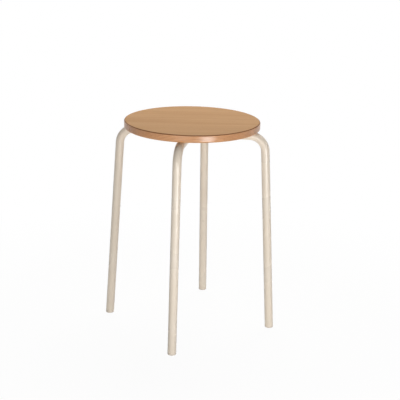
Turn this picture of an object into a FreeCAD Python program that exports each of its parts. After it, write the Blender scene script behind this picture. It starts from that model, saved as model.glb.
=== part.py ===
"""Stacking stool: a round plywood seat on a frame of bent steel tube with four legs.

Frame: millimetres, +Z up, origin on the floor under the middle of the seat.
The left and right legs stand on the X axis, the front and back legs on the Y axis, and +Y is the back.
The left and right legs are one bent tube. The front and back legs are a tube each, coped onto it.
"""

import FreeCAD, Part
import math
import os

from FreeCAD import Vector

# Seat board, a round of beech plywood with rounded edges
SEAT_HEIGHT = 480.0
SEAT_DIAMETER = 302.0
PLY_COUNT = 11
PLY_THICKNESS = 1.5
SEAT_EDGE_RADIUS = 3.0

# Steel tube of the legs, which stand just outside the seat so that stools stack
TUBE_DIAMETER = 19.0
TUBE_WALL = 1.5
BEND_RADIUS = 35.0
LEG_SPLAY = 3.5
LEG_TO_SEAT_GAP = 2.9
COPE_TIP_SETBACK = 3.0

# Steel lugs across the tubes, and the screws that go up through them into the seat
LUG_TO_SEAT_EDGE = 53.0
LUG_WIDTH = 20.0
LUG_THICKNESS = 2.0
LUG_HOLE_SPACING = 40.0
LUG_HOLE_CLEARANCE = 0.5
SCREW_SHANK_DIAMETER = 4.0
SCREW_LENGTH = 14.0
SCREW_POINT_LENGTH = 3.0
SCREW_HEAD_DIAMETER = 8.0
SCREW_HEAD_HEIGHT = 2.6
SCREW_CROWN_DIAMETER = 5.0
PILOT_CLEARANCE = 0.1
PILOT_SPARE_DEPTH = 1.0

# Weld beads
HUB_BEAD_SIZE = 3.0
HUB_BEAD_SPACING = 0.5
HUB_BEAD_SEAT_GAP = 1.0
LUG_BEAD_RADIUS = 2.2
LUG_BEAD_ROOT_GAP = 1.0
LUG_BEAD_INSET = 1.0

# Plastic glides pushed into the tube ends
GLIDE_FLANGE_HEIGHT = 4.0
GLIDE_EDGE_RADIUS = 1.2
GLIDE_STEM_LENGTH = 15.0
GLIDE_STEM_DIAMETER = 12.5
GLIDE_BARB_COUNT = 2
GLIDE_BARB_LENGTH = 3.0
GLIDE_BORE_CLEARANCE = 0.05

# Sizes that follow from the ones above
SEAT_RADIUS = SEAT_DIAMETER / 2
SEAT_THICKNESS = PLY_COUNT * PLY_THICKNESS
SEAT_UNDERSIDE = SEAT_HEIGHT - SEAT_THICKNESS
LUG_UNDERSIDE = SEAT_UNDERSIDE - LUG_THICKNESS
LUG_DISTANCE = SEAT_RADIUS - LUG_TO_SEAT_EDGE
TUBE_RADIUS = TUBE_DIAMETER / 2
BORE_RADIUS = TUBE_RADIUS - TUBE_WALL
TUBE_AXIS_HEIGHT = LUG_UNDERSIDE - TUBE_RADIUS
SPLAY = math.radians(LEG_SPLAY)
SHOULDER_DISTANCE = SEAT_RADIUS + LEG_TO_SEAT_GAP + TUBE_RADIUS
FOOT_DISTANCE = SHOULDER_DISTANCE + TUBE_AXIS_HEIGHT * math.tan(SPLAY)

X = Vector(1, 0, 0)
Y = Vector(0, 1, 0)
Z = Vector(0, 0, 1)
HUB = Z * TUBE_AXIS_HEIGHT
FOOT = X * FOOT_DISTANCE
UP_THE_LEG = Vector(-math.sin(SPLAY), 0, math.cos(SPLAY))

LEG_ANGLES = {"right": 0, "back": 90, "left": 180, "front": 270}


def turned(shape, angle):
    """A copy of the shape, turned about the middle of the stool."""
    copy = shape.copy()
    copy.rotate(Vector(0, 0, 0), Z, angle)
    return copy


def seat_outline():
    """The whole board: half of its section, with rounded edges, turned about the middle."""
    top = SEAT_HEIGHT
    low = SEAT_UNDERSIDE
    flat = SEAT_RADIUS - SEAT_EDGE_RADIUS
    inset = SEAT_EDGE_RADIUS * (1 - math.sqrt(0.5))
    upper = Part.Arc(
        Vector(flat, 0, top),
        Vector(SEAT_RADIUS - inset, 0, top - inset),
        Vector(SEAT_RADIUS, 0, top - SEAT_EDGE_RADIUS),
    )
    lower = Part.Arc(
        Vector(SEAT_RADIUS, 0, low + SEAT_EDGE_RADIUS),
        Vector(SEAT_RADIUS - inset, 0, low + inset),
        Vector(flat, 0, low),
    )
    section = Part.Wire([
        Part.makeLine(Vector(0, 0, low), Vector(0, 0, top)),
        Part.makeLine(Vector(0, 0, top), upper.StartPoint),
        upper.toShape(),
        Part.makeLine(upper.EndPoint, lower.StartPoint),
        lower.toShape(),
        Part.makeLine(lower.EndPoint, Vector(0, 0, low)),
    ])
    return Part.Face(section).revolve(Vector(0, 0, 0), Z, 360)


def screw_places():
    """The eight screw positions on the underside of the lugs."""
    places = []
    for angle in LEG_ANGLES.values():
        turn = FreeCAD.Rotation(Z, angle)
        for side in (-1, 1):
            places.append(turn.multVec(Vector(LUG_DISTANCE, side * LUG_HOLE_SPACING / 2, LUG_UNDERSIDE)))
    return places


def seat_layers():
    """The board's lower face veneer, its core of crossed plies and its upper face veneer."""
    board = seat_outline()
    pilot_radius = (SCREW_SHANK_DIAMETER + PILOT_CLEARANCE) / 2
    for place in screw_places():
        board = board.cut(Part.makeCylinder(pilot_radius, SCREW_LENGTH + PILOT_SPARE_DEPTH, place))
    core_thickness = SEAT_THICKNESS - PLY_THICKNESS * 2
    layers = {}
    low = SEAT_UNDERSIDE
    for name, thickness in (
        ("seat_bottom_veneer", PLY_THICKNESS),
        ("seat_core", core_thickness),
        ("seat_top_veneer", PLY_THICKNESS),
    ):
        slab = Part.makeCylinder(SEAT_DIAMETER, thickness, Z * low)
        layers[name] = board.common(slab).Solids[0]
        low += thickness
    return layers


def leg_path():
    """The edges of one leg's centre line in the XZ plane, from the hub out to the tube's lower end."""
    corner = HUB + X * SHOULDER_DISTANCE
    half_turn = (math.pi / 2 - SPLAY) / 2
    tangent = BEND_RADIUS * math.tan(half_turn)
    bend_start = corner - X * tangent
    bend_end = corner - UP_THE_LEG * tangent
    bend_centre = bend_start - Z * BEND_RADIUS
    bend_middle = bend_centre + Vector(math.sin(half_turn), 0, math.cos(half_turn)) * BEND_RADIUS
    lower_end = FOOT + UP_THE_LEG * GLIDE_FLANGE_HEIGHT
    run = Part.makeLine(HUB, bend_start)
    bend = Part.Arc(bend_start, bend_middle, bend_end).toShape()
    leg = Part.makeLine(bend_end, lower_end)
    return [run, bend, leg]


def swept_tube(path):
    """A hollow tube along edges that start at the hub and set out along X."""
    outer = Part.Wire([Part.makeCircle(TUBE_RADIUS, HUB, X)])
    inner = Part.Wire([Part.makeCircle(BORE_RADIUS, HUB, X)])
    spine = Part.Wire(path)
    rod = spine.makePipeShell([outer], True, False)
    bore = spine.makePipeShell([inner], True, False)
    return rod.cut(bore)


def leg_hoop():
    """The left and right legs and the run between them, bent from one tube."""
    half = swept_tube(leg_path())
    return half.fuse(turned(half, 180)).removeSplitter().Solids[0]


def hub_rod(direction):
    """A solid rod as thick as the tube, through the hub."""
    reach = TUBE_DIAMETER
    return Part.makeCylinder(TUBE_RADIUS, reach * 2, HUB - direction * reach, direction)


def coped_leg_tube():
    """One leg and its run, with the inner end cut to a saddle that fits the hoop."""
    size = TUBE_DIAMETER
    tips = Part.makeBox(COPE_TIP_SETBACK * 2, size * 2, size * 2, HUB - Vector(COPE_TIP_SETBACK, size, size))
    return swept_tube(leg_path()).cut(hub_rod(Y)).cut(tips).Solids[0]


def mounting_lug():
    """A flat strip across the tube, round at both ends, with a screw hole in the middle of each round."""
    end = LUG_WIDTH / 2
    half = LUG_HOLE_SPACING / 2
    strip = Part.makeBox(LUG_WIDTH, LUG_HOLE_SPACING, LUG_THICKNESS, Vector(-end, -half, 0))
    hole_radius = (SCREW_SHANK_DIAMETER + LUG_HOLE_CLEARANCE) / 2
    for side in (-1, 1):
        strip = strip.fuse(Part.makeCylinder(end, LUG_THICKNESS, Y * side * half))
    strip = strip.removeSplitter()
    for side in (-1, 1):
        strip = strip.cut(Part.makeCylinder(hole_radius, LUG_THICKNESS, Y * side * half))
    strip.translate(Vector(LUG_DISTANCE, 0, LUG_UNDERSIDE))
    return strip.Solids[0]


def seat_screw():
    """A wood screw, upright, with the underside of its head at the origin."""
    shank = SCREW_SHANK_DIAMETER / 2
    head = SCREW_HEAD_DIAMETER / 2
    crown = SCREW_CROWN_DIAMETER / 2
    shoulder = SCREW_LENGTH - SCREW_POINT_LENGTH
    corners = [
        Vector(0, 0, -SCREW_HEAD_HEIGHT),
        Vector(0, 0, SCREW_LENGTH),
        Vector(shank, 0, shoulder),
        Vector(shank, 0, 0),
        Vector(head, 0, 0),
        Vector(crown, 0, -SCREW_HEAD_HEIGHT),
    ]
    section = Part.Face(Part.makePolygon(corners + corners[:1]))
    return section.revolve(Vector(0, 0, 0), Z, 360)


def seat_screws():
    """All eight screws, up against the lugs."""
    screws = []
    for place in screw_places():
        screw = seat_screw()
        screw.translate(place)
        screws.append(screw)
    return screws


def meeting_point(angle, outward):
    """A point that far outside the line where the X run and the Y run meet, by its angle round the tube."""
    across = (TUBE_RADIUS + outward * math.sqrt(0.5)) * math.cos(angle)
    return HUB + Vector(across, across, (TUBE_RADIUS + outward) * math.sin(angle))


def hub_bead():
    """The bead in the corner between the X run and the Y run, along the line where the tubes meet.

    It stops short of the seat above, and of the beads in the next corners below.
    """
    room_above = TUBE_RADIUS + LUG_THICKNESS - HUB_BEAD_SEAT_GAP
    top = math.asin(room_above / (TUBE_RADIUS + HUB_BEAD_SIZE))
    bottom = -math.acos((HUB_BEAD_SIZE * math.sqrt(0.5) + HUB_BEAD_SPACING / 2) / TUBE_RADIUS)
    middle = (top + bottom) / 2
    face = [meeting_point(angle, HUB_BEAD_SIZE) for angle in (bottom, middle, top)]
    root = [meeting_point(angle, -HUB_BEAD_SIZE) for angle in (bottom, middle, top)]
    outline = Part.Wire([
        Part.Arc(*face).toShape(),
        Part.makeLine(face[2], root[2]),
        Part.Arc(*reversed(root)).toShape(),
        Part.makeLine(root[0], face[0]),
    ])
    sideways = (X - Y) * (HUB_BEAD_SIZE * math.sqrt(0.5))
    outline.translate(-sideways)
    bead = Part.Face(outline).extrude(sideways * 2)
    return bead.cut(hub_rod(X)).cut(hub_rod(Y)).Solids[0]


def hub_beads():
    """The four corner beads of the crossing."""
    return [turned(hub_bead(), angle) for angle in LEG_ANGLES.values()]


def lug_beads():
    """The bead on each side of one tube, in the groove under its lug."""
    length = LUG_WIDTH - LUG_BEAD_INSET * 2
    offset = math.sqrt(TUBE_RADIUS ** 2 - (TUBE_RADIUS - LUG_BEAD_ROOT_GAP) ** 2)
    size = TUBE_DIAMETER
    above = Part.makeBox(size * 2, size * 2, size, Vector(LUG_DISTANCE - size, -size, LUG_UNDERSIDE))
    tube = Part.makeCylinder(TUBE_RADIUS, size * 2, HUB + X * (LUG_DISTANCE - size), X)
    beads = []
    for side in (-1, 1):
        start = Vector(LUG_DISTANCE - length / 2, side * offset, LUG_UNDERSIDE - LUG_BEAD_ROOT_GAP / 2)
        bead = Part.makeCylinder(LUG_BEAD_RADIUS, length, start, X)
        beads.append(bead.cut(above).cut(tube).Solids[0])
    return beads


def foot_glide():
    """One glide: a foot as wide as the tube, level with the floor, and a barbed stem in the bore."""
    foot_length = GLIDE_FLANGE_HEIGHT + TUBE_RADIUS
    foot = Part.makeCylinder(TUBE_RADIUS, foot_length, FOOT - UP_THE_LEG * TUBE_RADIUS, UP_THE_LEG)
    size = TUBE_DIAMETER
    below_floor = Part.makeBox(size * 2, size * 2, size, FOOT - Vector(size, size, size))
    foot = foot.cut(below_floor)
    sole_rim = [edge for edge in foot.Edges if edge.BoundBox.ZMax < GLIDE_EDGE_RADIUS / 10]
    foot = foot.makeFillet(GLIDE_EDGE_RADIUS, sole_rim)

    stem_base = FOOT + UP_THE_LEG * GLIDE_FLANGE_HEIGHT
    stem_radius = GLIDE_STEM_DIAMETER / 2
    barb_radius = BORE_RADIUS - GLIDE_BORE_CLEARANCE
    stem = Part.makeCylinder(stem_radius, GLIDE_STEM_LENGTH, stem_base, UP_THE_LEG)
    pitch = GLIDE_STEM_LENGTH / GLIDE_BARB_COUNT
    for number in range(GLIDE_BARB_COUNT):
        base = stem_base + UP_THE_LEG * (pitch * (number + 0.5) - GLIDE_BARB_LENGTH / 2)
        barb = Part.makeCone(barb_radius, stem_radius, GLIDE_BARB_LENGTH, base, UP_THE_LEG)
        stem = stem.fuse(barb)
    return foot.fuse(stem).removeSplitter().Solids[0]


def export(name, solids):
    """Write one sub-part: a single solid, or a group of separate ones."""
    shape = solids[0] if len(solids) == 1 else Part.makeCompound(solids)
    shape.exportStep("parts/%s.step" % name)


if __name__ == "__main__":
    os.makedirs("parts", exist_ok=True)
    for name, layer in seat_layers().items():
        export(name, [layer])
    export("leg_hoop", [leg_hoop()])
    coped = coped_leg_tube()
    for side in ("front", "back"):
        export("%s_leg_tube" % side, [turned(coped, LEG_ANGLES[side])])
    lug = mounting_lug()
    glide = foot_glide()
    for side, angle in LEG_ANGLES.items():
        export("mounting_lug_%s" % side, [turned(lug, angle)])
        export("foot_glide_%s" % side, [turned(glide, angle)])
    export("seat_screws", seat_screws())
    export("hub_weld_beads", hub_beads())
    export("lug_weld_beads", [turned(bead, angle) for angle in LEG_ANGLES.values() for bead in lug_beads()])
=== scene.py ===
"""The looks of a stacking stool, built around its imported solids."""

import math

import bmesh
import bpy
from mathutils import Color, Matrix, Vector


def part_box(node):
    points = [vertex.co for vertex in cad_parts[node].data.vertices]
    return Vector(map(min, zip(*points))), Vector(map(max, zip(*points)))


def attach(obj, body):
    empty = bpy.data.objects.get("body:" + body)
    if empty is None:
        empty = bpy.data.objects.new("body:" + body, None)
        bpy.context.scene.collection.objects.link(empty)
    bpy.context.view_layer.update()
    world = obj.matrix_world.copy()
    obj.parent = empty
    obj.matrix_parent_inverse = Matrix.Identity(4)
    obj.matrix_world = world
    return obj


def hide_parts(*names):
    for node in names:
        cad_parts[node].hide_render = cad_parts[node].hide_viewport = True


bl_info = {
    "name": "Stacking Stool",
    "version": (1, 0, 0),
    "blender": (4, 5, 0),
    "location": "View3D > Sidebar > Stool",
    "description": "Builds the pieces, finishes and studio of a plywood and steel stacking stool",
    "category": "Object",
}

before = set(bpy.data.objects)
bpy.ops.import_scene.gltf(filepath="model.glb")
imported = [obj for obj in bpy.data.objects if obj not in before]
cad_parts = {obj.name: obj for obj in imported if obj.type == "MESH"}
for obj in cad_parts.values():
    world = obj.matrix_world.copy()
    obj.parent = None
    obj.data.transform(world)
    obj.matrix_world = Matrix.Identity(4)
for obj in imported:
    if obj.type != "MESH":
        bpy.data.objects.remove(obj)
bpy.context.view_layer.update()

SIDES = ("right", "back", "left", "front")
QUARTER = math.pi / 2
TOP_VENEER_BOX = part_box("seat_top_veneer")
CORE_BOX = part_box("seat_core")
LUG_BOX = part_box("mounting_lug_right")
TUBE_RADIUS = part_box("leg_hoop")[1].y
LUG_UNDERSIDE = LUG_BOX[0].z
HUB = Vector((0, 0, LUG_UNDERSIDE - TUBE_RADIUS))

# Corners this near in height lie level, and only a cut leaves edges this short
LEVEL = 0.000001
SLIVER = 0.000005

# How many there are to the metre, in the wood along its grain and across it, elsewhere along X, Y and Z
BANDS = (2.2, 46, 46)
FIBRES = (22, 900, 900)
PATCHES = (7, 16, 16)
RAYS = (260, 1500, 1500)
COAT_DRIFT = (11, 11, 11)
COAT_SPECKS = (420, 420, 420)
ZINC_PATCHES = (600, 600, 600)
TURNING_MARKS = (500, 500, 9000)
PLASTIC_PEBBLES = (1900, 1900, 1900)
SOLE_RUBS = (260, 1300, 700)
FLOOR_GRAIN = (90, 90, 90)

# How much each of them counts in the tone of the wood and of the coat
BAND_PART = 0.45
PATCH_PART = 0.3
FIBRE_PART = 0.25
DRIFT_PART = 0.8
SPECK_PART = 0.2

# From where to where noise is used, a ray fleck fades out, and long grain gives way to end grain
NOISE_RANGE = (0.3, 0.7)
RAY_FADE = (0.16, 0.3)
CROSS_FADE = (0.15, 0.75)

# Each screw was driven home to its own turn, this far round from the last one
SCREW_TURN = 0.83

# Where each lamp stands, where it points, and its width and height
LAMPS = {
    "front": ((-0.2, -2.8, 0.5), (0, 0, 0.3), (1.2, 1.0)),
    "top": ((0.1, 0.9, 2.1), (0, 0, 0.48), (1.0, 1.0)),
    "side": ((0.9, -1.3, 0.13), (0, 0, 0.13), (0.5, 0.26)),
    "back": ((-1.3, 2.3, 0.9), (0, 0, 0.3), (0.8, 1.0)),
}


def paint(red, green, blue):
    """A screen colour, 0 to 255, as the linear colour that a shader reads."""
    screen = Color((red / 255, green / 255, blue / 255))
    return (*screen.from_srgb_to_scene_linear(), 1.0)


def length(name, description, default):
    """A size in metres for the sidebar."""
    return bpy.props.FloatProperty(
        name=name, description=description, default=default, min=0, unit="LENGTH", precision=5
    )


def turn(name, description, degrees):
    """An angle for the sidebar."""
    return bpy.props.FloatProperty(
        name=name, description=description, default=math.radians(degrees), subtype="ANGLE"
    )


def share(name, description, default):
    """A share from 0 to 1 for the sidebar."""
    return bpy.props.FloatProperty(
        name=name, description=description, default=default, min=0, max=1, subtype="FACTOR"
    )


def power(name, description, watts):
    """A lamp's power for the sidebar."""
    return bpy.props.FloatProperty(name=name, description=description, default=watts, min=0, unit="POWER")


def count(name, description, default):
    """A whole number for the sidebar."""
    return bpy.props.IntProperty(name=name, description=description, default=default, min=1)


def colour(name, description, red, green, blue):
    """A colour for the sidebar, given as a screen colour."""
    return bpy.props.FloatVectorProperty(
        name=name,
        description=description,
        default=paint(red, green, blue),
        size=4,
        min=0,
        max=1,
        subtype="COLOR",
    )


class SeatSettings(bpy.types.PropertyGroup):
    """Sizes and colours of the round plywood seat."""

    radius: length("Radius", "From the middle of the seat to its edge", CORE_BOX[1].x)
    core_plies: count("Core Plies", "How many plies lie between the two face veneers", 9)
    edge_rounding: length("Edge Rounding", "Radius of the rounded upper and lower edge", 0.003)
    glue_groove: length("Glue Groove", "How far each ply's rim is eased at the glue line", 0.00008)
    pilot_radius: length("Pilot Radius", "Radius of the holes that the screws go into", 0.00205)
    grain_turn: turn("Grain Direction", "Turn of the face veneer's grain from the X axis", 10.4)
    pale: colour("Pale Wood", "Early wood of the face veneer", 202, 156, 105)
    deep: colour("Deep Wood", "Late wood of the face veneer", 186, 139, 89)
    fleck: colour("Flecks", "Short ray flecks along the grain", 156, 110, 71)
    side_pale: colour("Side Wood", "Core plies seen along their grain", 229, 175, 128)
    side_deep: colour("Side Wood Lines", "Darker lines in those plies", 205, 148, 99)
    end_pale: colour("End Wood", "Core plies seen across their grain", 196, 139, 92)
    end_deep: colour("End Wood Lines", "Darker lines in those plies", 168, 113, 71)
    # Painted shade: the colour of the dark line along the top veneer's rounded rim.
    rim: colour("Rim", "The top veneer's rounded rim, where the cut wood soaks up most lacquer", 128, 84, 52)
    rim_width: length("Rim Width", "How far down the edge that darker line reaches", 0.0013)
    rim_fade: length("Rim Fade", "How soft the ends of that line are", 0.0001)
    grain_depth: length("Grain Depth", "Height of the fibres under the lacquer", 0.00004)
    face_roughness: share("Face Roughness", "How matt the clear lacquer is on the faces", 0.5)
    edge_roughness: share("Edge Roughness", "How matt it is on the edge, where it is rubbed down finer", 0.28)
    face_lacquer: share("Face Lacquer", "How strongly the lacquer on the faces mirrors its surroundings", 0.1)
    edge_lacquer: share("Edge Lacquer", "How strongly the lacquer on the edge mirrors its surroundings", 0.48)


class CoatSettings(bpy.types.PropertyGroup):
    """The powder coat on the tubes, lugs and welds."""

    tone: colour("Coat", "Colour of the powder coat", 232, 220, 204)
    tone_thin: colour("Thin Coat", "Colour where the coat is a little thinner", 227, 213, 194)
    roughness: share("Roughness", "How matt the coat is", 0.28)
    peel_size: length("Peel Size", "Width of one bump of the orange peel", 0.0016)
    peel_depth: length("Peel Depth", "Height of the orange peel", 0.00006)
    gloss: share("Gloss", "How strongly the coat mirrors its surroundings", 0.6)


class LugSettings(bpy.types.PropertyGroup):
    """The flat lugs that join the tubes to the seat."""

    easing: length("Edge Easing", "Radius of the eased edges of each lug", 0.00035)
    hole_radius: length("Hole Radius", "Radius of the screw holes", 0.00225)


class WeldSettings(bpy.types.PropertyGroup):
    """The rippled weld beads at the crossing and under the lugs."""

    leg: length("Leg", "Reach of the crossing's beads onto each tube", 0.003)
    throat: length("Throat", "Height of those beads over the corner", 0.0024)
    ripples: count("Ripples", "Ripples in each bead of the crossing", 15)
    ripple_length: share("Ripple Length", "Half the length of each of them, against that reach", 0.75)
    lowest: turn("Lowest Angle", "Where those beads end below, as an angle round the tube", -74.0)
    highest: turn("Highest Angle", "Where those beads end above", 56.0)
    lug_radius: length("Lug Bead Radius", "Half the width of the beads under a lug", 0.0022)
    lug_ripples: count("Lug Ripples", "Ripples in each bead under a lug", 10)
    lug_ripple_length: share("Lug Ripple Length", "Length of each of them, against its width", 0.85)
    lug_sink: length("Lug Bead Sink", "How far those beads lie under the lug", 0.0005)
    lean: turn("Lean", "How far the ripples lean along the bead", 24.0)
    voxel: length("Fineness", "Size of the smallest form that the ripples are fused from", 0.0003)


class ScrewSettings(bpy.types.PropertyGroup):
    """The crosshead wood screws that hold the seat to the lugs."""

    head_radius: length("Head Radius", "Half the width of the head", 0.004)
    head_height: length("Head Height", "Height of the domed head", 0.0026)
    dome: share("Dome", "How much of that height is rounded", 0.72)
    shank_radius: length("Shank Radius", "Half the thickness of the shank", 0.002)
    shank_length: length("Shank Length", "From the head to the start of the point", 0.011)
    point_length: length("Point Length", "Length of the tapered point", 0.003)
    tip: share("Tip", "Width of the tip, against the shank's", 0.06)
    recess_length: length("Recess Length", "Length of each arm of the cross", 0.0044)
    recess_width: length("Recess Width", "Width of each arm of the cross", 0.0011)
    recess_depth: length("Recess Depth", "Depth of the cross", 0.0016)
    recess_taper: share("Recess Taper", "Size of the cross at its floor, against its mouth's", 0.55)
    zinc: colour("Zinc", "Colour of the zinc plating", 205, 206, 204)
    zinc_dull: colour("Dull Zinc", "Colour of its duller patches", 168, 168, 164)
    mark_depth: length("Mark Depth", "Depth of the turning marks", 0.00002)
    roughness: share("Roughness", "How matt the plating is", 0.3)


class GlideSettings(bpy.types.PropertyGroup):
    """The plastic glides in the feet."""

    splay: turn("Splay", "Lean of the legs", 3.5)
    shoulder_easing: length("Shoulder Easing", "Chamfer where the glide meets the tube", 0.00025)
    sole_rounding: length("Sole Rounding", "Radius round the sole", 0.0012)
    sole_ring: length("Sole Ring", "Width of the ring that stands on the floor", 0.0028)
    sole_hollow: length("Sole Hollow", "Depth of the hollow inside that ring", 0.0006)
    hollow_taper: share("Hollow Taper", "Width of that hollow at its floor, against its mouth's", 0.94)
    stem_radius: length("Stem Radius", "Radius of the stem in the tube", 0.00625)
    barb_radius: length("Barb Radius", "Radius of the barbs on the stem", 0.00795)
    barb_length: length("Barb Length", "Length of one barb", 0.003)
    barb_pitch: length("Barb Pitch", "From one barb to the next", 0.0075)
    barbs: count("Barbs", "Barbs on each stem", 2)
    tone: colour("Plastic", "Colour of the glides", 226, 214, 198)
    scuff: colour("Scuffs", "Colour of the rubbed patches on the soles", 180, 168, 152)
    scuff_height: length("Scuff Height", "How far up from the floor the rubbing shows", 0.0012)
    pebble_depth: length("Pebble Depth", "Height of the moulded texture", 0.00003)
    roughness: share("Roughness", "How matt the plastic is", 0.52)


class StudioSettings(bpy.types.PropertyGroup):
    """Camera, lamps and floor."""

    camera_place: bpy.props.FloatVectorProperty(
        name="Camera Place",
        description="Where the camera stands",
        default=(0.3819, -2.0810, 0.9463),
        unit="LENGTH",
    )
    camera_heading: turn("Camera Heading", "Turn of the camera from the Y axis", 9.827)
    camera_dip: turn("Camera Dip", "How far the camera looks down", 17.13)
    camera_roll: turn("Camera Roll", "Turn of the camera about its line of sight", 1.32)
    lens: bpy.props.FloatProperty(name="Lens", description="Focal length in millimetres", default=87.63, min=1)
    front_power: power("Front", "Power of the front lamp", 22)
    top_power: power("Top", "Power of the high lamp", 29.5)
    side_power: power("Side", "Power of the low lamp at the right", 10.1)
    back_power: power("Back", "Power of the lamp behind, which only fills", 24)
    surround: share("Surround", "Strength of the light from all round", 0.04)
    floor_white: share("Floor White", "How much of the floor's shade gives way to white near the stool", 0.96)
    shadow_reach: length("Shadow Reach", "How far from the stool the floor keeps its shadow", 0.9)
    floor_tone: colour("Floor", "Colour of the floor", 240, 239, 237)


# Modelling


def let_go():
    """Leave edit mode and deselect everything."""
    if bpy.context.mode != "OBJECT":
        bpy.ops.object.mode_set(mode="OBJECT")
    bpy.ops.object.select_all(action="DESELECT")


def take(*pieces):
    """Select only these pieces, the first of them active."""
    let_go()
    for piece in pieces:
        piece.select_set(True)
    bpy.context.view_layer.objects.active = pieces[0]


def pick(kind, fits):
    """In edit mode, select only the vertices, edges or faces that fit."""
    bpy.ops.mesh.select_mode(type={"verts": "VERT", "edges": "EDGE", "faces": "FACE"}[kind])
    bpy.ops.mesh.select_all(action="DESELECT")
    mesh = bmesh.from_edit_mesh(bpy.context.object.data)
    for part in getattr(mesh, kind):
        if fits(part):
            part.select_set(True)
    mesh.select_flush_mode()
    bmesh.update_edit_mesh(bpy.context.object.data)


def all_at(height):
    """A test for edges and faces that lie level at that height."""
    return lambda part: all(abs(corner.co.z - height) < LEVEL for corner in part.verts)


def settle(piece):
    """Put a piece's place, turn and scale into its mesh."""
    take(piece)
    bpy.ops.object.transform_apply(location=True, rotation=True, scale=True)


def duplicate(piece, name, move=Matrix.Identity(4)):
    """A copy with its own mesh, moved and then settled."""
    copy = piece.copy()
    copy.data = piece.data.copy()
    copy.name = name
    copy.data.name = name
    bpy.context.collection.objects.link(copy)
    copy.matrix_world = move @ piece.matrix_world
    settle(copy)
    return copy


def join(pieces):
    """All these pieces as one, with their places in its mesh."""
    take(*pieces)
    if len(pieces) > 1:
        bpy.ops.object.join()
    settle(pieces[0])
    return pieces[0]


def cut(piece, cutter):
    """Cut the cutter's shape out of the piece."""
    take(piece)
    cut_out = piece.modifiers.new("Cut", "BOOLEAN")
    cut_out.operation = "DIFFERENCE"
    cut_out.solver = "EXACT"
    cut_out.object = cutter
    bpy.ops.object.modifier_apply(modifier=cut_out.name)


def clean_cut(piece):
    """Remove the slivers and two-edged corners that cuts leave, so that no two faces lie on each other."""
    take(piece)
    bpy.ops.object.mode_set(mode="EDIT")
    bpy.ops.mesh.select_all(action="SELECT")
    bpy.ops.mesh.dissolve_degenerate(threshold=SLIVER)
    pick("verts", lambda corner: len(corner.link_edges) == 2)
    bpy.ops.mesh.dissolve_verts()
    let_go()


def smooth(piece, degrees):
    """Shade a piece smooth, with its sharper edges kept."""
    take(piece)
    bpy.ops.object.shade_smooth_by_angle(angle=math.radians(degrees))


def pull(distance, spread=1.0):
    """In edit mode, draw the chosen face upwards, and widen or narrow it."""
    bpy.ops.mesh.extrude_region_move(TRANSFORM_OT_translate={"value": (0, 0, distance)})
    if spread != 1:
        bpy.ops.transform.resize(value=(spread, spread, 1))


def discard(*pieces):
    """Remove helpers that aren't part of the stool."""
    let_go()
    for piece in pieces:
        bpy.data.objects.remove(piece)


def rod(radius, start, end, vertices=96):
    """A round bar from one point to another."""
    let_go()
    way = end - start
    bpy.ops.mesh.primitive_cylinder_add(
        vertices=vertices,
        radius=radius,
        depth=way.length,
        location=(start + end) / 2,
        rotation=way.to_track_quat("Z", "Y").to_euler(),
    )
    bar = bpy.context.object
    settle(bar)
    return bar


def finish_piece(piece, name, material, node):
    """Name a finished piece, give it its finish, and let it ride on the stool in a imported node's place."""
    piece.name = name
    piece.data.name = name
    piece.data.materials.clear()
    piece.data.materials.append(material)
    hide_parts(node)
    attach(piece, "root")


def coat_node(node, material):
    """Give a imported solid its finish."""
    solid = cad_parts[node]
    solid.data.materials.clear()
    solid.data.materials.append(material)


# Finishes


def lay(tree, kind, at, values=None, **settings):
    """Put a node in a tree. A value that is another node's output is linked."""
    made = tree.nodes.new("ShaderNode" + kind)
    made.location = at
    for name, value in settings.items():
        setattr(made, name, value)
    for socket, value in (values or {}).items():
        if isinstance(value, bpy.types.NodeSocket):
            tree.links.new(value, made.inputs[socket])
        else:
            made.inputs[socket].default_value = value
    return made


def blend_colours(tree, at, amount, first, second):
    """The colour between two colours."""
    mix = lay(tree, "Mix", at, {0: amount, 6: first, 7: second}, data_type="RGBA")
    return mix.outputs[2]


def scaled(tree, at, vector, scale):
    """Coordinates stretched by a scale along each axis."""
    mapping = lay(tree, "Mapping", at, {"Vector": vector, "Scale": scale})
    return mapping.outputs["Vector"]


def stretched_to(tree, at, value, low, high, out_low=0.0, out_high=1.0):
    """A value from low to high, as one from out_low to out_high."""
    limits = {"Value": value, "From Min": low, "From Max": high, "To Min": out_low, "To Max": out_high}
    return lay(tree, "MapRange", at, limits).outputs["Result"]


def calculate(tree, at, operation, first, second, third=0.0):
    """The result of one sum."""
    return lay(tree, "Math", at, {0: first, 1: second, 2: third}, operation=operation).outputs[0]


def new_group(name, inputs, outputs):
    """An empty node group with named sockets, its entry and its exit."""
    tree = bpy.data.node_groups.new(name, "ShaderNodeTree")
    for socket, kind in inputs:
        tree.interface.new_socket(socket, in_out="INPUT", socket_type="NodeSocket" + kind)
    for socket, kind in outputs:
        tree.interface.new_socket(socket, in_out="OUTPUT", socket_type="NodeSocket" + kind)
    entry = tree.nodes.new("NodeGroupInput")
    entry.location = (-1400, 0)
    way_out = tree.nodes.new("NodeGroupOutput")
    way_out.location = (900, 0)
    return tree, entry.outputs, way_out.inputs


def noise(tree, at, vector, scale, detail=2.0, distortion=0.0):
    """Soft noise from 0 to 1, on coordinates stretched by a scale along each axis."""
    x, y = at
    values = {
        "Vector": scaled(tree, (x - 200, y), vector, scale),
        "Scale": 1.0,
        "Detail": detail,
        "Distortion": distortion,
    }
    made = lay(tree, "TexNoise", at, values)
    return stretched_to(tree, (x + 200, y), made.outputs[0], *NOISE_RANGE)


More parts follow.
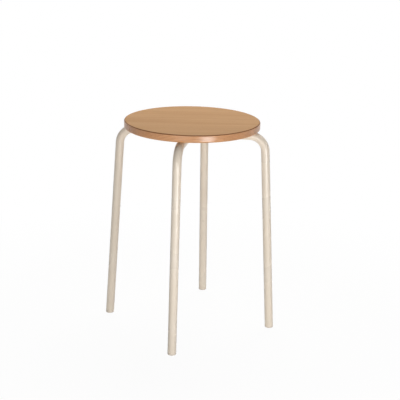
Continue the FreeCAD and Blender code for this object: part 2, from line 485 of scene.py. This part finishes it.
def timber_group():
    """Growth bands, fibres, patches and short ray flecks in wood whose grain runs along X."""
    name = "Timber Figure"
    if name in bpy.data.node_groups:
        return bpy.data.node_groups[name]
    tree, given, result = new_group(
        name,
        [("Vector", "Vector"), ("Pale", "Color"), ("Deep", "Color"), ("Fleck", "Color"), ("Flecks", "Float")],
        [("Color", "Color"), ("Height", "Float"), ("Dullness", "Float")],
    )
    grain = given["Vector"]
    bands = noise(tree, (-1000, 300), grain, BANDS, detail=4, distortion=0.5)
    fibres = noise(tree, (-1000, 0), grain, FIBRES, detail=3)
    patches = noise(tree, (-1000, -300), grain, PATCHES)
    ray_cells = {"Vector": scaled(tree, (-1200, -600), grain, RAYS), "Scale": 1.0}
    cells = lay(tree, "TexVoronoi", (-1000, -600), ray_cells)
    rays = stretched_to(tree, (-800, -600), cells.outputs["Distance"], *RAY_FADE, 1.0, 0.0)
    rays = calculate(tree, (-600, -600), "MULTIPLY", rays, given["Flecks"])
    shade = calculate(tree, (-600, 300), "MULTIPLY", bands, BAND_PART)
    shade = calculate(tree, (-400, 300), "MULTIPLY_ADD", patches, PATCH_PART, shade)
    shade = calculate(tree, (-200, 300), "MULTIPLY_ADD", fibres, FIBRE_PART, shade)
    wood = blend_colours(tree, (0, 300), shade, given["Pale"], given["Deep"])
    wood = blend_colours(tree, (200, 300), rays, wood, given["Fleck"])
    height = calculate(tree, (200, 0), "SUBTRACT", fibres, rays)
    tree.links.new(wood, result["Color"])
    tree.links.new(height, result["Height"])
    tree.links.new(bands, result["Dullness"])
    return tree


def coat_group():
    """The orange peel and slow variation of a sprayed and baked coat."""
    name = "Baked Coat"
    if name in bpy.data.node_groups:
        return bpy.data.node_groups[name]
    tree, given, result = new_group(
        name,
        [("Vector", "Vector"), ("Full", "Color"), ("Thin", "Color"), ("Peel Scale", "Float")],
        [("Color", "Color"), ("Height", "Float"), ("Dullness", "Float")],
    )
    peel = lay(
        tree,
        "TexNoise",
        (-800, 200),
        {"Vector": given["Vector"], "Scale": given["Peel Scale"], "Detail": 1.0, "Roughness": 0.4},
    ).outputs[0]
    drift = noise(tree, (-800, -100), given["Vector"], COAT_DRIFT)
    specks = noise(tree, (-800, -400), given["Vector"], COAT_SPECKS, detail=1)
    thinness = calculate(tree, (-400, -100), "MULTIPLY", drift, DRIFT_PART)
    thinness = calculate(tree, (-200, -100), "MULTIPLY_ADD", specks, SPECK_PART, thinness)
    shade = blend_colours(tree, (200, 0), thinness, given["Full"], given["Thin"])
    tree.links.new(shade, result["Color"])
    tree.links.new(peel, result["Height"])
    tree.links.new(drift, result["Dullness"])
    return tree


def new_finish(name):
    """A new material, its node tree and shader, and the piece's own coordinates."""
    material = bpy.data.materials.new(name)
    material.use_nodes = True
    tree = material.node_tree
    shader = tree.nodes["Principled BSDF"]
    place = lay(tree, "TexCoord", (-1200, 0)).outputs["Object"]
    return material, tree, shader, place


def relief(tree, at, shader, height, depth, strength=1.0):
    """Let a height that varies over the surface bend the light."""
    bump = lay(tree, "Bump", at, {"Height": height, "Distance": depth, "Strength": strength})
    tree.links.new(bump.outputs["Normal"], shader.inputs["Normal"])


def vary_roughness(tree, at, shader, amount, low, high):
    """Let a value from 0 to 1 change the roughness from low to high."""
    tree.links.new(stretched_to(tree, at, amount, 0, 1, low, high), shader.inputs["Roughness"])


def place_group(tree, group, at, values):
    """Put a shared effect in a material, with this material's own values."""
    return lay(tree, "Group", at, values, node_tree=group).outputs


def wood_finish(name, seat, grain_turn, lacquer, roughness, pale, deep, flecks, end_pale, end_deep):
    """Lacquered wood with its grain turned from the X axis. Where it is cut across, it shows end grain."""
    material, tree, shader, place = new_finish(name)
    along = lay(tree, "Mapping", (-1000, 0), {"Vector": place, "Rotation": (0, 0, -grain_turn)})
    own = {"Vector": along.outputs["Vector"], "Pale": pale, "Deep": deep, "Fleck": seat.fleck, "Flecks": flecks}
    wood = place_group(tree, timber_group(), (-700, 200), own)
    across = {**own, "Pale": end_pale, "Deep": end_deep, "Flecks": 0.0}
    end_wood = place_group(tree, timber_group(), (-700, -200), across)
    facing = lay(tree, "NewGeometry", (-1000, -500)).outputs["Normal"]
    grain = (math.cos(grain_turn), math.sin(grain_turn), 0)
    cross = lay(tree, "VectorMath", (-800, -500), {0: facing, 1: grain}, operation="DOT_PRODUCT")
    cross = calculate(tree, (-600, -500), "MULTIPLY", cross.outputs["Value"], cross.outputs["Value"])
    cross = stretched_to(tree, (-400, -500), cross, *CROSS_FADE)
    shown = blend_colours(tree, (-300, 200), cross, wood["Color"], end_wood["Color"])
    tree.links.new(shown, shader.inputs["Base Color"])
    vary_roughness(tree, (-300, 0), shader, wood["Dullness"], roughness - 0.04, roughness + 0.06)
    shader.inputs["Specular IOR Level"].default_value = lacquer
    relief(tree, (-200, -200), shader, wood["Height"], seat.grain_depth, 0.5)
    return material


def paint_rim_shade(material, seat):
    """Add painted shade: a dark line along the top veneer's rounded rim."""
    tree = material.node_tree
    base = tree.nodes["Principled BSDF"].inputs["Base Color"]
    wood = base.links[0].from_socket
    place = tree.nodes["Texture Coordinate"].outputs["Object"]
    height = lay(tree, "SeparateXYZ", (-900, 600), {0: place}).outputs["Z"]
    top = TOP_VENEER_BOX[1].z
    end = top - seat.rim_width
    starts = stretched_to(tree, (-700, 600), height, top - seat.rim_fade, top - seat.rim_fade * 3)
    ends = stretched_to(tree, (-700, 800), height, end - seat.rim_fade, end)
    # The band of the rounded rim that the painted shade darkens.
    line = calculate(tree, (-500, 700), "MULTIPLY", starts, ends)
    tree.links.new(blend_colours(tree, (-100, 500), line, wood, seat.rim), base)


def coat_finish(coat):
    """Cream powder coat."""
    name = "Cream Powder Coat"
    if name in bpy.data.materials:
        return bpy.data.materials[name]
    material, tree, shader, place = new_finish(name)
    own = {"Vector": place, "Full": coat.tone, "Thin": coat.tone_thin, "Peel Scale": 1 / coat.peel_size}
    sprayed = place_group(tree, coat_group(), (-800, 0), own)
    tree.links.new(sprayed["Color"], shader.inputs["Base Color"])
    vary_roughness(tree, (-400, 0), shader, sprayed["Dullness"], coat.roughness - 0.03, coat.roughness + 0.05)
    shader.inputs["Specular IOR Level"].default_value = coat.gloss
    relief(tree, (-300, -200), shader, sprayed["Height"], coat.peel_depth)
    return material


def zinc_finish(screws):
    """Bright zinc plating with duller patches and fine turning marks."""
    material, tree, shader, place = new_finish("Bright Zinc")
    patches = noise(tree, (-700, 200), place, ZINC_PATCHES, detail=3)
    marks = noise(tree, (-700, -200), place, TURNING_MARKS)
    shown = blend_colours(tree, (-300, 200), patches, screws.zinc, screws.zinc_dull)
    tree.links.new(shown, shader.inputs["Base Color"])
    vary_roughness(tree, (-300, 0), shader, patches, screws.roughness - 0.08, screws.roughness + 0.12)
    shader.inputs["Metallic"].default_value = 1.0
    relief(tree, (-200, -200), shader, marks, screws.mark_depth, 0.6)
    return material


def plastic_finish(glides):
    """Matt moulded plastic, rubbed on the sole."""
    material, tree, shader, place = new_finish("Matt Plastic")
    pebbles = noise(tree, (-800, -300), place, PLASTIC_PEBBLES, detail=1)
    rubs = noise(tree, (-800, 300), place, SOLE_RUBS, detail=4)
    height = lay(tree, "SeparateXYZ", (-1000, 0), {0: place}).outputs["Z"]
    near_floor = stretched_to(tree, (-600, 0), height, 0, glides.scuff_height, 1.0, 0.0)
    scuffs = calculate(tree, (-400, 200), "MULTIPLY", near_floor, rubs)
    shown = blend_colours(tree, (-200, 200), scuffs, glides.tone, glides.scuff)
    tree.links.new(shown, shader.inputs["Base Color"])
    vary_roughness(tree, (-200, 0), shader, scuffs, glides.roughness, glides.roughness + 0.25)
    relief(tree, (-200, -300), shader, pebbles, glides.pebble_depth, 0.7)
    return material


# The pieces, each made by its own operator


class STOOL_OT_face_veneers(bpy.types.Operator):
    """Give the upper and lower face veneers their wood"""

    bl_idname = "stool.face_veneers"
    bl_label = "Face Veneers"

    def execute(self, context):
        seat = context.scene.stool_seat
        face = (seat.pale, seat.deep, 0.5, seat.side_pale, seat.side_deep)
        lacquer = (seat.face_lacquer, seat.face_roughness)
        veneer = wood_finish("Face Veneer", seat, seat.grain_turn, *lacquer, *face)
        # The top veneer gets painted shade along its rounded rim.
        paint_rim_shade(veneer, seat)
        coat_node("seat_top_veneer", veneer)
        coat_node("seat_bottom_veneer", veneer)
        return {"FINISHED"}


class STOOL_OT_core_plies(bpy.types.Operator):
    """Build the plies between the face veneers, each with its grain across the next one's"""

    bl_idname = "stool.core_plies"
    bl_label = "Core Plies"

    def execute(self, context):
        seat = context.scene.stool_seat
        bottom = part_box("seat_bottom_veneer")[0].z
        top = TOP_VENEER_BOX[1].z
        board = self.board(seat, bottom, top)
        pilots = self.pilots(seat, bottom)
        crosswise = seat.grain_turn + QUARTER
        lacquer = (seat.edge_lacquer, seat.edge_roughness)
        colours = (seat.side_pale, seat.side_deep, 0, seat.end_pale, seat.end_deep)
        across = wood_finish("Cross Ply", seat, crosswise, *lacquer, *colours)
        along = wood_finish("Long Ply", seat, seat.grain_turn, *lacquer, *colours)
        low = CORE_BOX[0].z
        thickness = (CORE_BOX[1].z - low) / seat.core_plies
        for number in range(seat.core_plies):
            ply = self.ply(board, seat, low, low + thickness)
            cut(ply, pilots)
            smooth(ply, 25)
            wood = along if number % 2 else across
            finish_piece(ply, "core_ply_%d" % (number + 1), wood, "seat_core")
            low += thickness
        discard(board, pilots)
        return {"FINISHED"}

    def board(self, seat, bottom, top):
        """The whole board with its rounded edges, which the plies are cut from."""
        let_go()
        depth = top - bottom
        middle = (0, 0, bottom + depth / 2)
        bpy.ops.mesh.primitive_cylinder_add(vertices=180, radius=seat.radius, depth=depth, location=middle)
        board = bpy.context.object
        settle(board)
        bpy.ops.object.mode_set(mode="EDIT")
        pick("edges", lambda edge: all_at(bottom)(edge) or all_at(top)(edge))
        bpy.ops.mesh.bevel(offset=seat.edge_rounding, segments=12, profile=0.5, affect="EDGES")
        let_go()
        return board

    def ply(self, board, seat, low, high):
        """One ply cut from the board, with its rims eased where the glue lines are."""
        ply = duplicate(board, "ply")
        take(ply)
        bpy.ops.object.mode_set(mode="EDIT")
        for height, side in ((low, "clear_inner"), (high, "clear_outer")):
            bpy.ops.mesh.select_all(action="SELECT")
            bpy.ops.mesh.bisect(plane_co=(0, 0, height), plane_no=(0, 0, 1), use_fill=True, **{side: True})
        pick("edges", lambda edge: all_at(low)(edge) or all_at(high)(edge))
        bpy.ops.mesh.bevel(offset=seat.glue_groove, segments=1, affect="EDGES")
        let_go()
        return ply

    def pilots(self, seat, bottom):
        """Bars where the screws go into the plies."""
        reach = Vector((0, 0, (TOP_VENEER_BOX[0].z - bottom) * 1.02))
        bars = []
        for spot in screw_spots():
            foot = Vector((spot.x, spot.y, bottom))
            bars.append(rod(seat.pilot_radius, foot, foot + reach, 32))
        return join(bars)


def screw_spots():
    """Where the eight screws go through the undersides of the lugs."""
    spots = []
    for side in SIDES:
        low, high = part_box("mounting_lug_" + side)
        middle = (low + high) / 2
        size = high - low
        reach = abs(size.y - size.x) / 2
        along = Vector((0, 1, 0)) if size.y > size.x else Vector((1, 0, 0))
        for way in (-1, 1):
            spot = middle + along * reach * way
            spots.append(Vector((spot.x, spot.y, low.z)))
    return spots


class STOOL_OT_tubes(bpy.types.Operator):
    """Powder coat the bent tubes"""

    bl_idname = "stool.tubes"
    bl_label = "Tubes"

    def execute(self, context):
        finish = coat_finish(context.scene.stool_coat)
        for node in ("leg_hoop", "front_leg_tube", "back_leg_tube"):
            coat_node(node, finish)
        return {"FINISHED"}


class STOOL_OT_lugs(bpy.types.Operator):
    """Build the four lugs, round at both ends, with eased edges and screw holes"""

    bl_idname = "stool.lugs"
    bl_label = "Lugs"

    def execute(self, context):
        finish = coat_finish(context.scene.stool_coat)
        lug = self.lug(context.scene.stool_lugs)
        for number, side in enumerate(SIDES):
            copy = duplicate(lug, "lug", Matrix.Rotation(QUARTER * number, 4, "Z"))
            finish_piece(copy, "lug_" + side, finish, "mounting_lug_" + side)
        discard(lug)
        return {"FINISHED"}

    def lug(self, lugs):
        """The right lug: a disc drawn apart into a strip."""
        low, high = LUG_BOX
        middle = (low + high) / 2
        end = (high.x - low.x) / 2
        reach = high.y - end
        corners = 64
        let_go()
        bpy.ops.mesh.primitive_cylinder_add(
            vertices=corners,
            radius=end,
            depth=high.z - low.z,
            location=middle,
            rotation=(0, 0, math.pi / corners),
        )
        lug = bpy.context.object
        settle(lug)
        bpy.ops.object.mode_set(mode="EDIT")
        for way in (-1, 1):
            pick("verts", lambda corner: 0 < corner.co.y * way <= end)
            bpy.ops.transform.translate(value=(0, reach * way, 0))
        pick("edges", lambda edge: all_at(low.z)(edge) or all_at(high.z)(edge))
        bpy.ops.mesh.bevel(offset=lugs.easing, segments=3, affect="EDGES")
        let_go()
        past = Vector((0, 0, end))
        for spot in screw_spots()[:2]:
            hole = rod(lugs.hole_radius, spot - past, spot + past, 48)
            cut(lug, hole)
            discard(hole)
        smooth(lug, 30)
        return lug


def fused_ripples(places, sizes, fineness):
    """Overlapping ripples, each a flattened ball at its place, fused into one bead."""
    ripples = []
    for place in places:
        let_go()
        bpy.ops.mesh.primitive_uv_sphere_add(segments=32, ring_count=16, radius=1)
        ripple = bpy.context.object
        ripple.matrix_world = place @ Matrix.Diagonal((*sizes, 1))
        ripples.append(ripple)
    bead = join(ripples)
    fuse = bead.modifiers.new("Fuse", "REMESH")
    fuse.mode = "VOXEL"
    fuse.voxel_size = fineness
    bpy.ops.object.modifier_apply(modifier=fuse.name)
    return bead


def frame_of(along, outward, place):
    """A matrix whose X runs along, whose Z points outward, and which stands at a place."""
    across = outward.cross(along).normalized()
    upright = along.cross(across).normalized()
    turned = Matrix((along.normalized(), across, upright)).transposed()
    return Matrix.Translation(place) @ turned.to_4x4()


class STOOL_OT_hub_welds(bpy.types.Operator):
    """Build the four rippled beads in the corners of the crossing"""

    bl_idname = "stool.hub_welds"
    bl_label = "Crossing Welds"

    def execute(self, context):
        weld = context.scene.stool_weld
        sizes = (weld.leg * weld.ripple_length, weld.leg, weld.throat)
        bead = fused_ripples(self.places(weld), sizes, weld.voxel)
        reach = Vector((TUBE_RADIUS * 3, 0, 0))
        runs = [rod(TUBE_RADIUS, HUB - reach, HUB + reach), rod(TUBE_RADIUS, HUB - reach.yxz, HUB + reach.yxz)]
        for run in runs:
            cut(bead, run)
        discard(*runs)
        clean_cut(bead)
        smooth(bead, 60)
        finish = coat_finish(context.scene.stool_coat)
        for number in range(1, len(SIDES)):
            copy = duplicate(bead, "bead", Matrix.Rotation(QUARTER * number, 4, "Z"))
            finish_piece(copy, "hub_bead_%d" % (number + 1), finish, "hub_weld_beads")
        finish_piece(bead, "hub_bead_1", finish, "hub_weld_beads")
        return {"FINISHED"}

    def places(self, weld):
        """The ripples, along the line where the two runs meet, smaller as the corner opens out."""
        places = []
        for number in range(weld.ripples):
            part = number / (weld.ripples - 1)
            angle = weld.lowest + (weld.highest - weld.lowest) * part
            level = Vector((1, 1, 0)) * TUBE_RADIUS * math.cos(angle)
            place = HUB + level + Vector((0, 0, TUBE_RADIUS * math.sin(angle)))
            way = Vector((-math.sin(angle), -math.sin(angle), math.cos(angle)))
            outward = Vector((math.cos(angle), math.cos(angle), 2 * math.sin(angle)))
            lean = Matrix.Rotation(weld.lean, 4, "Y")
            shrink = Matrix.Scale(math.sqrt(math.cos(angle)), 4)
            places.append(frame_of(way, outward, place) @ lean @ shrink)
        return places


class STOOL_OT_lug_welds(bpy.types.Operator):
    """Build the rippled beads beside the tubes, under the lugs"""

    bl_idname = "stool.lug_welds"
    bl_label = "Lug Welds"

    def execute(self, context):
        weld = context.scene.stool_weld
        low, high = LUG_BOX
        middle = Vector(((low.x + high.x) / 2, 0, 0))
        bead = self.bead(weld, low, high)
        finish = coat_finish(context.scene.stool_coat)
        about_lug = Matrix.Translation(middle) @ Matrix.Rotation(math.pi, 4, "Z") @ Matrix.Translation(-middle)
        for number, side in enumerate(SIDES):
            to_side = Matrix.Rotation(QUARTER * number, 4, "Z")
            for hand, turned in (("a", to_side), ("b", to_side @ about_lug)):
                copy = duplicate(bead, "bead", turned)
                finish_piece(copy, "lug_bead_%s_%s" % (side, hand), finish, "lug_weld_beads")
        discard(bead)
        return {"FINISHED"}

    def bead(self, weld, low, high):
        """The bead on one side of the right tube."""
        inset = weld.lug_radius * 1.2
        beside = math.sqrt(TUBE_RADIUS ** 2 - (TUBE_RADIUS - weld.lug_sink * 2) ** 2)
        start = Vector((low.x + inset, beside, LUG_UNDERSIDE - weld.lug_sink))
        run = Vector((high.x - low.x - inset * 2, 0, 0))
        sizes = (weld.lug_radius * weld.lug_ripple_length, weld.lug_radius, weld.lug_radius)
        places = []
        for number in range(weld.lug_ripples):
            place = start + run * (number / (weld.lug_ripples - 1))
            lean = Matrix.Rotation(weld.lean, 4, "Y")
            places.append(frame_of(run, Vector((0, 1, -1)), place) @ lean)
        bead = fused_ripples(places, sizes, weld.voxel)
        tube = rod(TUBE_RADIUS, HUB, HUB + Vector((high.x * 1.2, 0, 0)))
        cut(bead, tube)
        let_go()
        block = 0.06
        bpy.ops.mesh.primitive_cube_add(size=block, location=(low.x, 0, LUG_UNDERSIDE + block / 2))
        above = bpy.context.object
        settle(above)
        cut(bead, above)
        discard(tube, above)
        clean_cut(bead)
        smooth(bead, 60)
        return bead


class STOOL_OT_screws(bpy.types.Operator):
    """Build the crosshead screws that hold the seat to the lugs"""

    bl_idname = "stool.screws"
    bl_label = "Screws"

    def execute(self, context):
        screws = context.scene.stool_screws
        zinc = zinc_finish(screws)
        screw = self.screw(screws)
        cross = self.cross(screws)
        cut(screw, cross)
        smooth(screw, 40)
        for number, spot in enumerate(screw_spots()):
            place = Matrix.Translation(spot) @ Matrix.Rotation(SCREW_TURN * number, 4, "Z")
            copy = duplicate(screw, "screw", place)
            finish_piece(copy, "seat_screw_%d" % (number + 1), zinc, "seat_screws")
        discard(screw, cross)
        return {"FINISHED"}

    def screw(self, screws):
        """A screw with a domed head, upright, with the underside of its head at the origin."""
        head = screws.head_height
        let_go()
        middle = (0, 0, -head / 2)
        bpy.ops.mesh.primitive_cylinder_add(vertices=48, radius=screws.head_radius, depth=head, location=middle)
        screw = bpy.context.object
        settle(screw)
        bpy.ops.object.mode_set(mode="EDIT")
        pick("edges", all_at(-head))
        bpy.ops.mesh.bevel(offset=head * screws.dome, segments=8, profile=0.5, affect="EDGES")
        pick("faces", all_at(0))
        bpy.ops.mesh.inset(thickness=screws.head_radius - screws.shank_radius)
        pull(screws.shank_length)
        pull(screws.point_length, screws.tip)
        let_go()
        return screw

    def cross(self, screws):
        """The tapered cross that is pressed into the head."""
        deep = -screws.head_height + screws.recess_depth
        mouth = -screws.head_height * 1.1
        arms = []
        for half_turn in (0, QUARTER):
            let_go()
            bpy.ops.mesh.primitive_cube_add(size=1, location=(0, 0, (deep + mouth) / 2))
            arm = bpy.context.object
            arm.scale = (screws.recess_length, screws.recess_width, deep - mouth)
            arm.rotation_euler.z = half_turn
            settle(arm)
            bpy.ops.object.mode_set(mode="EDIT")
            pick("faces", all_at(deep))
            bpy.ops.transform.resize(value=(screws.recess_taper, screws.recess_taper, 1))
            let_go()
            arms.append(arm)
        fuse = arms[0].modifiers.new("Fuse", "BOOLEAN")
        fuse.operation = "UNION"
        fuse.solver = "EXACT"
        fuse.object = arms[1]
        take(arms[0])
        bpy.ops.object.modifier_apply(modifier=fuse.name)
        discard(arms[1])
        return arms[0]


class STOOL_OT_glides(bpy.types.Operator):
    """Build the four foot glides, level with the floor, with barbed stems up the tubes"""

    bl_idname = "stool.glides"
    bl_label = "Foot Glides"

    def execute(self, context):
        glides = context.scene.stool_glides
        plastic = plastic_finish(glides)
        hoop_low, hoop_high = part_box("leg_hoop")
        rise = math.cos(glides.splay)
        lean = math.sin(glides.splay)
        flange = (hoop_low.z + TUBE_RADIUS * lean) / rise
        foot = Vector((hoop_high.x + flange * lean - TUBE_RADIUS * rise, 0, 0))
        glide = self.glide(glides, flange)
        for number, side in enumerate(SIDES):
            place = Matrix.Rotation(QUARTER * number, 4, "Z") @ Matrix.Translation(foot)
            copy = duplicate(glide, "glide", place)
            finish_piece(copy, "glide_" + side, plastic, "foot_glide_" + side)
        discard(glide)
        return {"FINISHED"}

    def glide(self, glides, flange):
        """One glide, leaning as the right leg does, with the middle of its sole at the origin."""
        let_go()
        depth = flange + TUBE_RADIUS
        middle = (0, 0, (flange - TUBE_RADIUS) / 2)
        bpy.ops.mesh.primitive_cylinder_add(vertices=72, radius=TUBE_RADIUS, depth=depth, location=middle)
        glide = bpy.context.object
        settle(glide)
        bpy.ops.object.mode_set(mode="EDIT")
        pick("edges", all_at(flange))
        bpy.ops.mesh.bevel(offset=glides.shoulder_easing, segments=2, affect="EDGES")
        pick("faces", all_at(flange))
        bpy.ops.mesh.inset(thickness=TUBE_RADIUS - glides.shoulder_easing - glides.stem_radius)
        flare = glides.barb_radius / glides.stem_radius
        plain = (glides.barb_pitch - glides.barb_length) / 2
        step = 0.00001
        for _ in range(glides.barbs):
            pull(plain)
            pull(step, flare)
            pull(glides.barb_length, 1 / flare)
            pull(plain)
        let_go()
        glide.rotation_euler.y = -glides.splay
        settle(glide)
        self.sole(glides)
        smooth(glide, 35)
        return glide

    def sole(self, glides):
        """Cut the glide level with the floor, round it, and hollow its middle."""
        bpy.ops.object.mode_set(mode="EDIT")
        bpy.ops.mesh.select_all(action="SELECT")
        bpy.ops.mesh.bisect(plane_co=(0, 0, 0), plane_no=(0, 0, 1), use_fill=True, clear_inner=True)
        pick("edges", all_at(0))
        bpy.ops.mesh.bevel(offset=glides.sole_rounding, segments=6, affect="EDGES")
        pick("faces", all_at(0))
        bpy.ops.mesh.inset(thickness=glides.sole_ring)
        pull(glides.sole_hollow, glides.hollow_taper)
        let_go()


class STOOL_OT_studio(bpy.types.Operator):
    """Set up the floor, the lamps and the camera"""

    bl_idname = "stool.studio"
    bl_label = "Studio"

    def execute(self, context):
        studio = context.scene.stool_studio
        context.scene.view_settings.view_transform = "Standard"
        self.floor(studio)
        self.surround(context.scene, studio)
        for name, (place, target, size) in LAMPS.items():
            self.lamp(name, place, target, size, getattr(studio, name + "_power"))
        self.camera(context.scene, studio)
        return {"FINISHED"}

    def white_ground(self, tree):
        """Where the camera, gloss or glass looks straight at it, a ground shows as white."""
        rays = lay(tree, "LightPath", (-900, 300)).outputs
        seen = calculate(tree, (-700, 300), "MAXIMUM", rays["Is Camera Ray"], rays["Is Glossy Ray"])
        return calculate(tree, (-500, 300), "MAXIMUM", seen, rays["Is Transmission Ray"])

    def floor(self, studio):
        """A pale floor that keeps a soft shadow."""
        let_go()
        bpy.ops.mesh.primitive_plane_add(size=60)
        floor = bpy.context.object
        floor.name = "studio_floor"
        bpy.ops.object.mode_set(mode="EDIT")
        bpy.ops.mesh.subdivide(number_cuts=3)
        let_go()
        material, tree, shader, place = new_finish("Pale Floor")
        grain = noise(tree, (-700, 0), place, FLOOR_GRAIN)
        vary_roughness(tree, (-300, 0), shader, grain, 0.7, 0.85)
        shader.inputs["Base Color"].default_value = studio.floor_tone
        shader.inputs["Specular IOR Level"].default_value = 0.2
        white = lay(tree, "Emission", (0, 300), {"Strength": 1.0})
        away = lay(tree, "VectorMath", (-700, 500), {0: place}, operation="LENGTH").outputs["Value"]
        near = studio.shadow_reach / 2
        whiteness = stretched_to(tree, (-500, 500), away, near, studio.shadow_reach, studio.floor_white, 1.0)
        part = calculate(tree, (-300, 300), "MULTIPLY", self.white_ground(tree), whiteness)
        shown = lay(tree, "MixShader", (400, 200), {0: part, 1: shader.outputs[0], 2: white.outputs[0]})
        tree.links.new(shown.outputs[0], tree.nodes["Material Output"].inputs["Surface"])
        floor.data.materials.append(material)

    def surround(self, scene, studio):
        """Even light from all round, with a white background."""
        world = bpy.data.worlds.new("Surround")
        scene.world = world
        world.use_nodes = True
        tree = world.node_tree
        strength = stretched_to(tree, (-300, 0), self.white_ground(tree), 0, 1, studio.surround, 1.0)
        tree.links.new(strength, tree.nodes["Background"].inputs["Strength"])
        tree.nodes["Background"].inputs["Color"].default_value = (1, 1, 1, 1)

    def lamp(self, name, place, target, size, watts):
        """A soft lamp that points at the stool. The one behind leaves no shine."""
        lamp = bpy.data.lights.new("studio_" + name, "AREA")
        lamp.shape = "RECTANGLE"
        lamp.size, lamp.size_y = size
        lamp.energy = watts
        stand = bpy.data.objects.new("studio_" + name, lamp)
        stand.location = place
        stand.rotation_euler = (Vector(target) - Vector(place)).to_track_quat("-Z", "Y").to_euler()
        stand.visible_glossy = name != "back"
        bpy.context.collection.objects.link(stand)

    def camera(self, scene, studio):
        """The camera, where the stool's outline says that it stood."""
        camera = bpy.data.objects.new("studio_camera", bpy.data.cameras.new("studio_camera"))
        camera.data.sensor_width = 36
        camera.data.lens = studio.lens
        camera.matrix_world = (
            Matrix.Translation(studio.camera_place)
            @ Matrix.Rotation(studio.camera_heading, 4, "Z")
            @ Matrix.Rotation(QUARTER - studio.camera_dip, 4, "X")
            @ Matrix.Rotation(studio.camera_roll, 4, "Z")
        )
        bpy.context.collection.objects.link(camera)
        scene.camera = camera


class STOOL_PT_panel(bpy.types.Panel):
    """Lists the stool's settings and the operators that build it"""

    bl_idname = "STOOL_PT_panel"
    bl_label = "Stacking Stool"
    bl_space_type = "VIEW_3D"
    bl_region_type = "UI"
    bl_category = "Stool"

    def draw(self, context):
        for name in SETTINGS:
            box = self.layout.box()
            box.label(text=name.replace("stool_", "").title())
            group = getattr(context.scene, name)
            for prop in group.bl_rna.properties:
                if prop.identifier not in ("name", "rna_type"):
                    box.prop(group, prop.identifier)
        for operator in OPERATORS:
            self.layout.operator(operator.bl_idname)


SETTINGS = {
    "stool_seat": SeatSettings,
    "stool_coat": CoatSettings,
    "stool_lugs": LugSettings,
    "stool_weld": WeldSettings,
    "stool_screws": ScrewSettings,
    "stool_glides": GlideSettings,
    "stool_studio": StudioSettings,
}
OPERATORS = (
    STOOL_OT_studio,
    STOOL_OT_face_veneers,
    STOOL_OT_core_plies,
    STOOL_OT_tubes,
    STOOL_OT_lugs,
    STOOL_OT_hub_welds,
    STOOL_OT_lug_welds,
    STOOL_OT_screws,
    STOOL_OT_glides,
)


def register():
    for name, settings in SETTINGS.items():
        bpy.utils.register_class(settings)
        setattr(bpy.types.Scene, name, bpy.props.PointerProperty(type=settings))
    for operator in OPERATORS:
        bpy.utils.register_class(operator)
    bpy.utils.register_class(STOOL_PT_panel)


def unregister():
    bpy.utils.unregister_class(STOOL_PT_panel)
    for operator in reversed(OPERATORS):
        bpy.utils.unregister_class(operator)
    for name, settings in reversed(SETTINGS.items()):
        delattr(bpy.types.Scene, name)
        bpy.utils.unregister_class(settings)


def main():
    """Build the stool's looks and the studio."""
    register()
    bpy.ops.stool.studio()
    bpy.ops.stool.face_veneers()
    bpy.ops.stool.core_plies()
    bpy.ops.stool.tubes()
    bpy.ops.stool.lugs()
    bpy.ops.stool.hub_welds()
    bpy.ops.stool.lug_welds()
    bpy.ops.stool.screws()
    bpy.ops.stool.glides()
    let_go()


if __name__ == "__main__":
    main()
